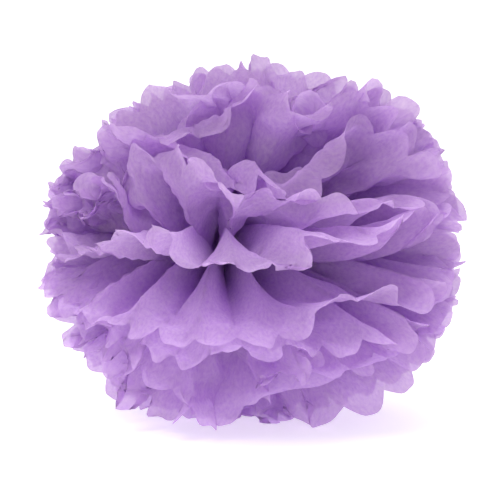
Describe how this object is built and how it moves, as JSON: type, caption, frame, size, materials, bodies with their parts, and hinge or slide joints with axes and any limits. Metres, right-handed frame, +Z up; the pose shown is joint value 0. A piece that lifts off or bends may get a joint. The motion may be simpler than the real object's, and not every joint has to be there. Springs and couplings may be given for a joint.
{
  "type": "tissue paper pom pom",
  "caption": "Ball-shaped tissue paper pom pom: pleated sheets with scalloped ends, tied in the middle and pulled open into two banks of fans.",
  "frame": {"origin": "middle of the bounding box's underside, on the surface that the lowest petals rest on", "axes": "+Z up, along the tied strip; +X to the side where the petals reach furthest, along the line in which the pleats are counted; -Y is the front, into which the first sheets open"},
  "size_m": [0.3216, 0.29, 0.2773],
  "materials": {
    "lavender_tissue": "matt, translucent, slightly crinkled",
    "tie_steel": "plain thin wire"
  },
  "bodies": {
    "root": {"tissue_sheet_01": "lavender_tissue", "tissue_sheet_02": "lavender_tissue", "tissue_sheet_03": "lavender_tissue", "tissue_sheet_04": "lavender_tissue", "tissue_sheet_05": "lavender_tissue", "tissue_sheet_06": "lavender_tissue", "tissue_sheet_07": "lavender_tissue", "tissue_sheet_08": "lavender_tissue", "tissue_sheet_09": "lavender_tissue", "tissue_sheet_10": "lavender_tissue", "tissue_sheet_11": "lavender_tissue", "tissue_sheet_12": "lavender_tissue", "tie_wire": "tie_steel"}
  },
  "joints": []
}
